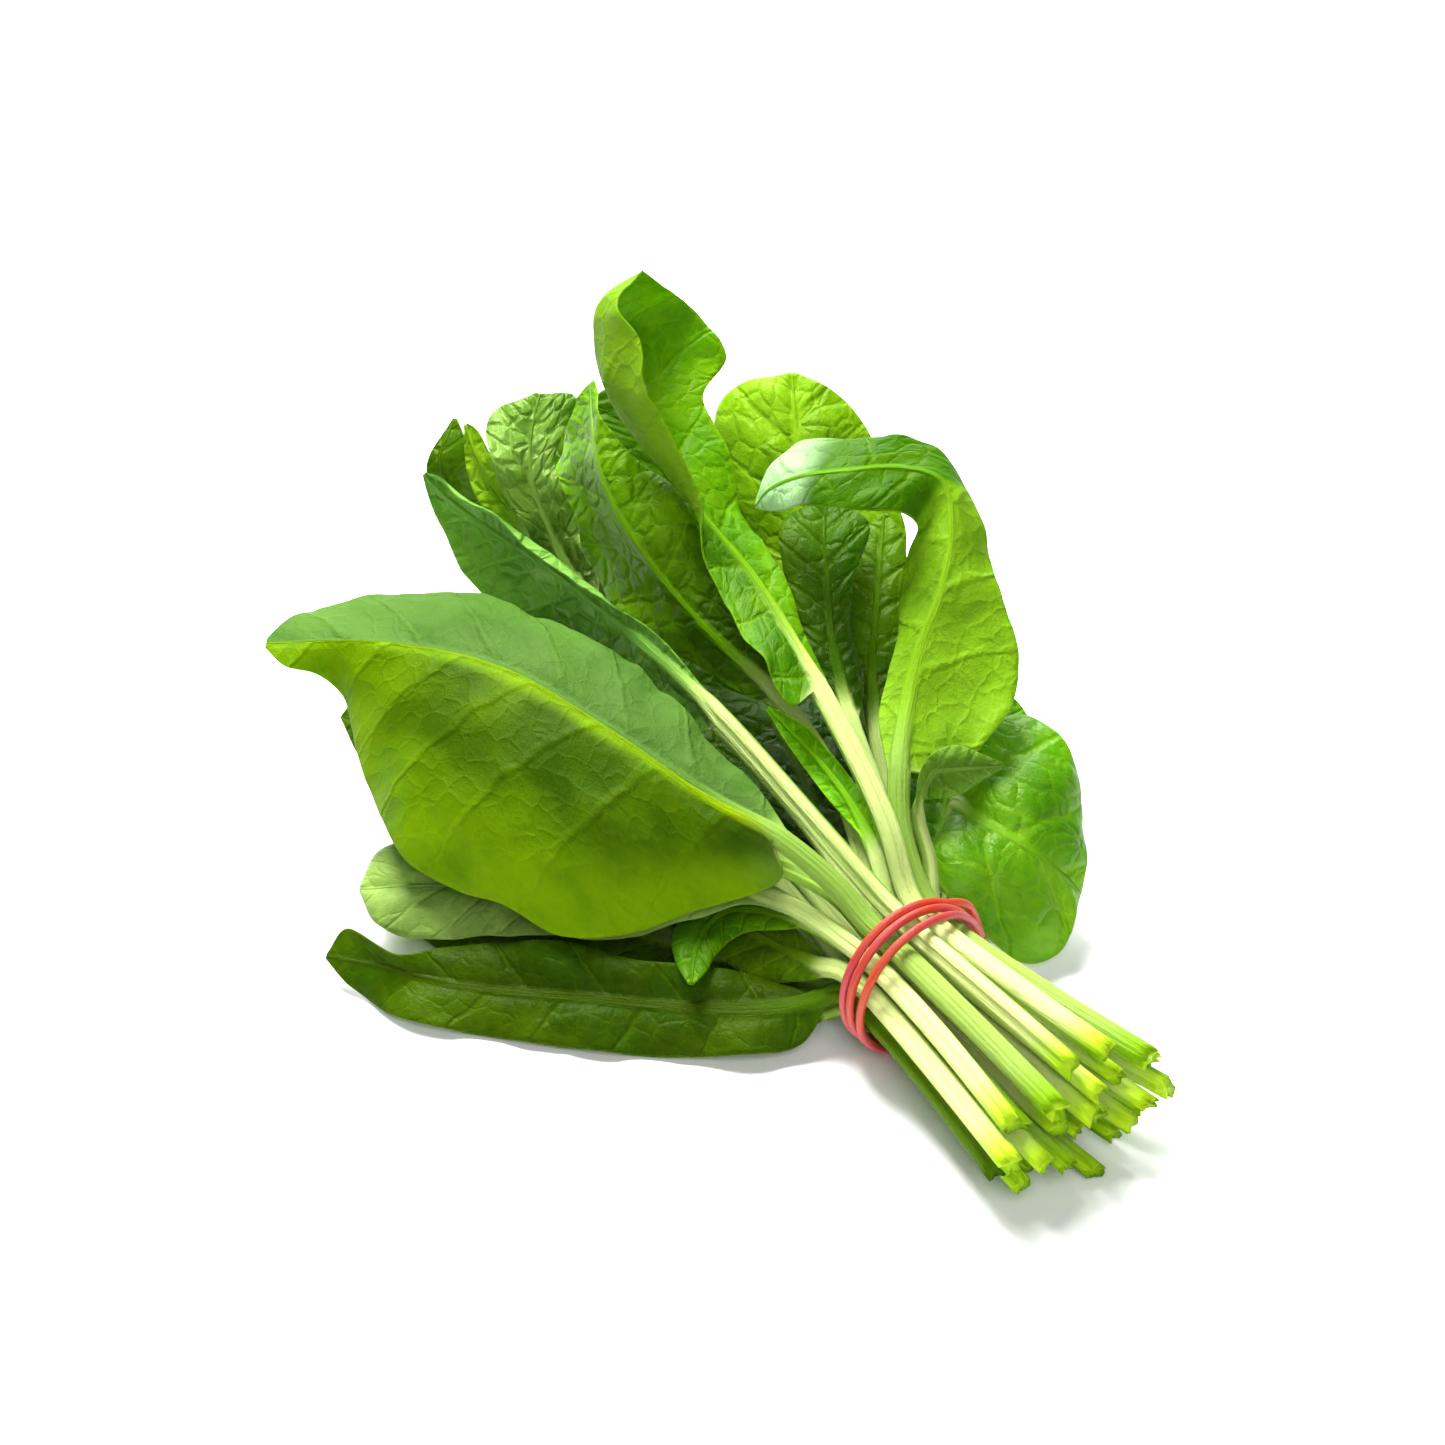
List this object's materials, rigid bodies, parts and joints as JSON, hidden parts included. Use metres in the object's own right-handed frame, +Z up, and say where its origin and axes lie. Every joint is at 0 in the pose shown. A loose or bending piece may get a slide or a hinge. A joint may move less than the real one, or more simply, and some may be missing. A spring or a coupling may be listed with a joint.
{
  "type": "spinach bunch",
  "caption": "Bunch of fresh spinach with long stems and broad leaves, lying on its side, tied by a rubber band wound round the stems.",
  "frame": {"origin": "small flat spot under the rubber band that the bunch rests on, level with the floor", "axes": "+X runs from the leaves to the cut stem ends, +Z is up as the bunch lies, and +Y completes the right-handed frame, across the bunch"},
  "size_m": [0.2662, 0.2002, 0.1308],
  "materials": {
    "leaf_mid": "waxy fresh green leaf, cream stem",
    "leaf_dark": "waxy dark green leaf, cream stem",
    "leaf_pale": "pale green underside of a leaf, cream stem",
    "rubber_band": "smooth orange-red to magenta-red rubber"
  },
  "bodies": {
    "root": {"front_large": "leaf_mid", "low_left": "leaf_dark", "low_grey": "leaf_pale", "low_dark": "leaf_dark", "low_drop": "leaf_dark", "floor_tip": "leaf_dark", "under_front": "leaf_dark", "rolled_long": "leaf_mid", "rolled_tip": "leaf_dark", "yellow_fold": "leaf_pale", "crinkled": "leaf_pale", "brown_fold": "leaf_dark", "tall_centre": "leaf_mid", "back_light": "leaf_pale", "right_tall": "leaf_pale", "centre_dark": "leaf_dark", "centre_mid": "leaf_mid", "right_small": "leaf_mid", "right_round": "leaf_mid", "narrow_green": "leaf_mid", "floor_front": "leaf_mid", "floor_mid": "leaf_dark", "floor_back": "leaf_mid", "back_right": "leaf_mid", "under_left": "leaf_dark", "under_back": "leaf_mid", "rubber_band": "rubber_band"}
  },
  "joints": []
}
